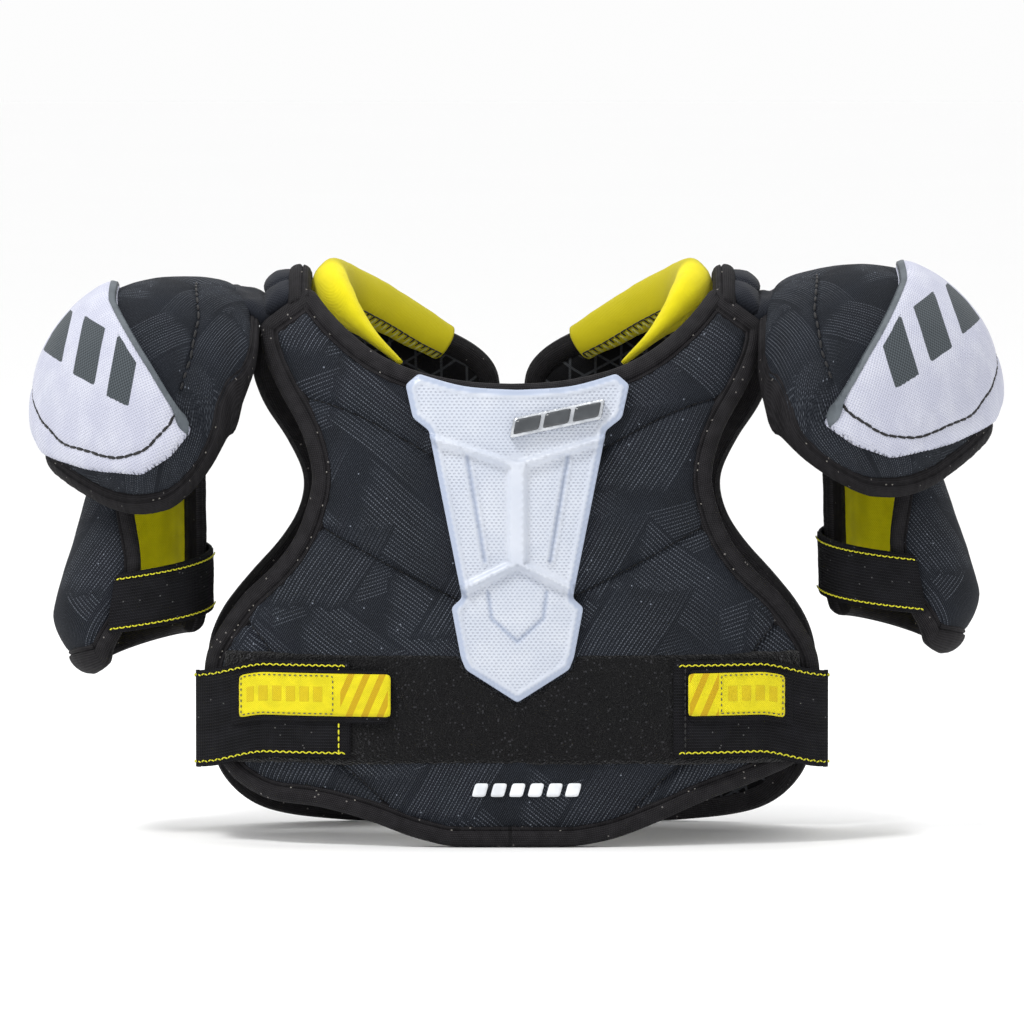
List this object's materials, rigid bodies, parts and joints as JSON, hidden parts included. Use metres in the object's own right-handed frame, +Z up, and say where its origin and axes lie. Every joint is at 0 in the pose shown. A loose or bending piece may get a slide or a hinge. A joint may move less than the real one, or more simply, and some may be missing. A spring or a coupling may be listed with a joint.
{
  "type": "hockey shoulder pads",
  "caption": "Youth ice hockey shoulder pads: padded chest and back panels, moulded sternum plate, domed shoulder caps, hinged upper-arm guards and hook-and-loop belly straps.",
  "frame": {"origin": "middle of the footprint, on the surface the front and back hems stand on", "axes": "+Z up, the wearer faces -Y, the wearer's left arm is at +X"},
  "size_m": [0.4015, 0.1489, 0.2384],
  "materials": {
    "panel_fabric": "woven navy-charcoal fabric with pale dashed hatching",
    "binding_tape": "ribbed near-black binding tape",
    "lining": "black lining with a faint grey triangle print",
    "foam": "closed-cell foam, satin skin",
    "white_plate": "moulded cool white with fine dots",
    "badge": "gloss dark grey with a silver edge",
    "loop_fabric": "black loop pile",
    "yellow_fabric": "neon yellow knit",
    "olive_lining": "yellow knit lining",
    "elastic": "black ribbed elastic with yellow stitching",
    "hook_fabric": "dark hook tape",
    "yellow_tab": "yellow woven tab with printed stripes",
    "insert_plastic": "polyethylene sheet, matte",
    "cap_liner_foam": "dark brushed lining on foam",
    "white_overlay": "coarse white woven fabric with a grey graphic",
    "hanger_fabric": "black webbing"
  },
  "bodies": {
    "torso": {"chest_cover": "panel_fabric", "chest_foam": "foam", "chest_liner": "lining", "chest_binding": "binding_tape", "sternum_plate": "white_plate", "plate_badge": "badge", "loop_panel": "loop_fabric", "shoulder_yoke_left": "panel_fabric", "collar_pad_left": "yellow_fabric", "cap_tab_left": "panel_fabric", "shoulder_yoke_right": "panel_fabric", "collar_pad_right": "yellow_fabric", "cap_tab_right": "panel_fabric"},
    "back_panel": {"back_cover": "panel_fabric", "back_foam": "foam", "back_liner": "lining", "back_binding": "binding_tape", "spine_plate": "white_plate", "side_elastic_left": "elastic", "side_elastic_right": "elastic"},
    "belly_strap_left": {"belly_elastic_left": "elastic", "belly_hook_left": "hook_fabric", "pull_tab_left": "yellow_tab"},
    "shoulder_cap_left": {"cap_cover_left": "panel_fabric", "cap_insert_left": "insert_plastic", "cap_liner_left": "cap_liner_foam", "cap_binding_left": "binding_tape", "cap_overlay_left": "white_overlay"},
    "hanger_left": {"arm_hanger_left": "hanger_fabric"},
    "arm_guard_left": {"guard_cover_left": "panel_fabric", "guard_insert_left": "insert_plastic", "guard_liner_left": "olive_lining", "guard_binding_left": "binding_tape", "arm_elastic_left": "elastic"},
    "arm_hook_end_left": {"arm_hook_left": "hook_fabric"},
    "belly_strap_right": {"belly_elastic_right": "elastic", "belly_hook_right": "hook_fabric", "pull_tab_right": "yellow_tab"},
    "shoulder_cap_right": {"cap_cover_right": "panel_fabric", "cap_insert_right": "insert_plastic", "cap_liner_right": "cap_liner_foam", "cap_binding_right": "binding_tape", "cap_overlay_right": "white_overlay"},
    "hanger_right": {"arm_hanger_right": "hanger_fabric"},
    "arm_guard_right": {"guard_cover_right": "panel_fabric", "guard_insert_right": "insert_plastic", "guard_liner_right": "olive_lining", "guard_binding_right": "binding_tape", "arm_elastic_right": "elastic"},
    "arm_hook_end_right": {"arm_hook_right": "hook_fabric"}
  },
  "joints": [
    {"name": "back_swing", "type": "hinge", "parent": "torso", "child": "back_panel", "pos_m": [0, 0.046, 0.232], "axis": [1, 0, 0], "range_deg": [0, 9], "deforming": ["side_elastic_left", "side_elastic_right"]},
    {"name": "belly_strap_open_left", "type": "hinge", "parent": "torso", "child": "belly_strap_left", "pos_m": [0.1298, -0.0338, 0.05], "axis": [0, 0, 1], "range_deg": [0, 100]},
    {"name": "cap_lift_left", "type": "hinge", "parent": "torso", "child": "shoulder_cap_left", "pos_m": [0.101, 0, 0.228], "axis": [0, -1, 0], "range_deg": [-1.5, 37], "stiffness_Nm_per_rad": 1.4, "springref_deg": 2.81},
    {"name": "guard_flare_left", "type": "hinge", "parent": "shoulder_cap_left", "child": "hanger_left", "pos_m": [0.15906, 0, 0.21293], "axis": [0, -1, 0], "range_deg": [0, 3]},
    {"name": "guard_swing_left", "type": "hinge", "parent": "hanger_left", "child": "arm_guard_left", "pos_m": [0.1593, 0.007, 0.17742], "axis": [-1, 0, 0], "range_deg": [-5, 3]},
    {"name": "arm_hook_peel_left", "type": "hinge", "parent": "arm_guard_left", "child": "arm_hook_end_left", "pos_m": [0.12935, 0.0018, 0.11234], "axis": [0, 0, 1], "range_deg": [0, 28]},
    {"name": "belly_strap_open_right", "type": "hinge", "parent": "torso", "child": "belly_strap_right", "pos_m": [-0.1298, -0.0338, 0.05], "axis": [0, 0, -1], "range_deg": [0, 100]},
    {"name": "cap_lift_right", "type": "hinge", "parent": "torso", "child": "shoulder_cap_right", "pos_m": [-0.104, 0, 0.228], "axis": [0, 1, 0], "range_deg": [0, 45], "stiffness_Nm_per_rad": 1.4, "springref_deg": 2.81},
    {"name": "guard_flare_right", "type": "hinge", "parent": "shoulder_cap_right", "child": "hanger_right", "pos_m": [-0.1594, 0, 0.205], "axis": [0, 1, 0], "range_deg": [0, 3]},
    {"name": "guard_swing_right", "type": "hinge", "parent": "hanger_right", "child": "arm_guard_right", "pos_m": [-0.1584, 0.007, 0.1695], "axis": [-1, 0, 0], "range_deg": [-5, 3]},
    {"name": "arm_hook_peel_right", "type": "hinge", "parent": "arm_guard_right", "child": "arm_hook_end_right", "pos_m": [-0.1262, 0.0018, 0.1055], "axis": [0, 0, -1], "range_deg": [0, 28]}
  ]
}
